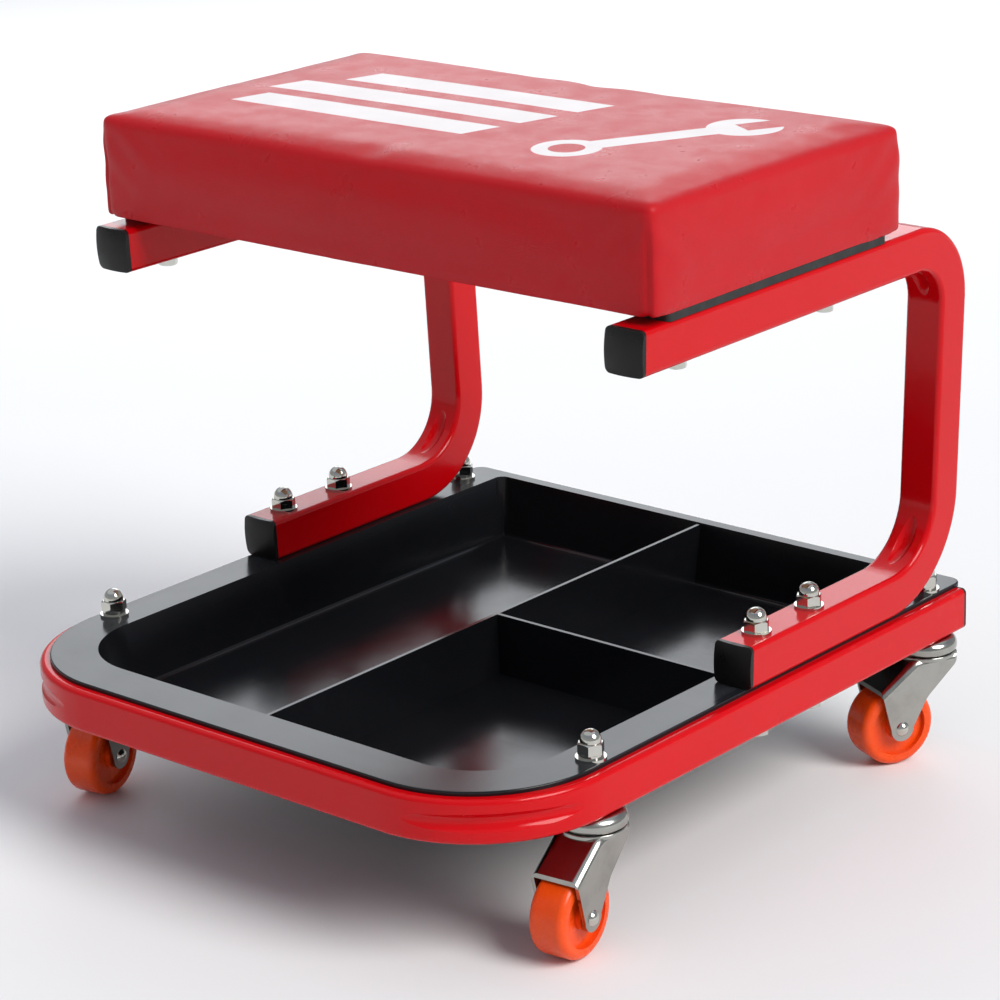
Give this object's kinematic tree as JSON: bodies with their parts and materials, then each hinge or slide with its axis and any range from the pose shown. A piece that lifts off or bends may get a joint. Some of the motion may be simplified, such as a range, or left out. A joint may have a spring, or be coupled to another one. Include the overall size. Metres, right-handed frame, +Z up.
{
  "type": "mechanics creeper seat",
  "caption": "Low rolling mechanic's seat: padded seat on bent square-tube supports over a compartmented tool tray, on swivelling casters.",
  "frame": {"origin": "on the floor, under the middle of the whole seat's footprint", "axes": "+Z up, +Y to the rear, where the posts stand and the base is open, +X to the right seen from the front"},
  "size_m": [0.402, 0.428, 0.394],
  "materials": {
    "frame_paint": "gloss",
    "tray_plastic": "satin moulded",
    "plug_plastic": "satin moulded",
    "plated_steel": "bright plated",
    "fork_chrome": "bright pressed",
    "wheel_orange": "gloss polyurethane",
    "sleeve_steel": "drawn",
    "seat_vinyl": "grained vinyl",
    "seat_ply": "raw plywood",
    "seat_padding": "open foam",
    "spacer_black": "matt",
    "staple_steel": "bright wire"
  },
  "bodies": {
    "frame": {"base_tube": "frame_paint", "seat_support_left": "frame_paint", "seat_support_right": "frame_paint", "tool_tray": "tray_plastic", "rail_end_plug_left": "plug_plastic", "rail_end_plug_right": "plug_plastic", "support_plug_lower_left": "plug_plastic", "support_plug_lower_right": "plug_plastic", "support_plug_upper_left": "plug_plastic", "support_plug_upper_right": "plug_plastic", "support_bolts": "plated_steel", "support_washers": "plated_steel", "support_dome_nuts": "plated_steel", "caster_dome_nuts": "plated_steel", "caster_washers": "plated_steel", "caster_spring_washers": "plated_steel", "seat_bolts": "plated_steel", "seat_bolt_washers": "plated_steel", "seat_t_nuts": "plated_steel", "seat_cover": "seat_vinyl", "seat_board": "seat_ply", "seat_foam": "seat_padding", "seat_staples": "staple_steel", "seat_spacer_left": "spacer_black", "seat_spacer_right": "spacer_black", "front_left_stem": "plated_steel", "front_left_swivel_cup": "fork_chrome", "front_left_swivel_balls": "plated_steel", "front_right_stem": "plated_steel", "front_right_swivel_cup": "fork_chrome", "front_right_swivel_balls": "plated_steel", "rear_left_stem": "plated_steel", "rear_left_swivel_cup": "fork_chrome", "rear_left_swivel_balls": "plated_steel", "rear_right_stem": "plated_steel", "rear_right_swivel_cup": "fork_chrome", "rear_right_swivel_balls": "plated_steel"},
    "front_left_fork_body": {"front_left_fork": "fork_chrome", "front_left_axle": "plated_steel", "front_left_axle_nut": "plated_steel", "front_left_axle_sleeve": "sleeve_steel"},
    "front_left_wheel_body": {"front_left_wheel": "wheel_orange"},
    "front_right_fork_body": {"front_right_fork": "fork_chrome", "front_right_axle": "plated_steel", "front_right_axle_nut": "plated_steel", "front_right_axle_sleeve": "sleeve_steel"},
    "front_right_wheel_body": {"front_right_wheel": "wheel_orange"},
    "rear_left_fork_body": {"rear_left_fork": "fork_chrome", "rear_left_axle": "plated_steel", "rear_left_axle_nut": "plated_steel", "rear_left_axle_sleeve": "sleeve_steel"},
    "rear_left_wheel_body": {"rear_left_wheel": "wheel_orange"},
    "rear_right_fork_body": {"rear_right_fork": "fork_chrome", "rear_right_axle": "plated_steel", "rear_right_axle_nut": "plated_steel", "rear_right_axle_sleeve": "sleeve_steel"},
    "rear_right_wheel_body": {"rear_right_wheel": "wheel_orange"}
  },
  "joints": [
    {"name": "front_left_swivel", "type": "hinge", "parent": "frame", "child": "front_left_fork_body", "pos_m": [-0.1805, -0.1228, 0.07], "axis": [0, 0, 1], "continuous": true},
    {"name": "front_left_roll", "type": "hinge", "parent": "front_left_fork_body", "child": "front_left_wheel_body", "pos_m": [-0.17551, -0.14628, 0.024], "axis": [0.9781, 0.2079, 0], "continuous": true},
    {"name": "front_right_swivel", "type": "hinge", "parent": "frame", "child": "front_right_fork_body", "pos_m": [0.1805, -0.1228, 0.07], "axis": [0, 0, 1], "continuous": true},
    {"name": "front_right_roll", "type": "hinge", "parent": "front_right_fork_body", "child": "front_right_wheel_body", "pos_m": [0.18301, -0.14667, 0.024], "axis": [0.9945, 0.1045, 0], "continuous": true},
    {"name": "rear_left_swivel", "type": "hinge", "parent": "frame", "child": "rear_left_fork_body", "pos_m": [-0.1805, 0.1868, 0.07], "axis": [0, 0, 1], "continuous": true},
    {"name": "rear_left_roll", "type": "hinge", "parent": "rear_left_fork_body", "child": "rear_left_wheel_body", "pos_m": [-0.17633, 0.16317, 0.024], "axis": [0.9848, 0.1736, 0], "continuous": true},
    {"name": "rear_right_swivel", "type": "hinge", "parent": "frame", "child": "rear_right_fork_body", "pos_m": [0.1805, 0.1868, 0.07], "axis": [0, 0, 1], "continuous": true},
    {"name": "rear_right_roll", "type": "hinge", "parent": "rear_right_fork_body", "child": "rear_right_wheel_body", "pos_m": [0.17074, 0.16487, 0.024], "axis": [0.9135, -0.4067, 0], "continuous": true}
  ]
}
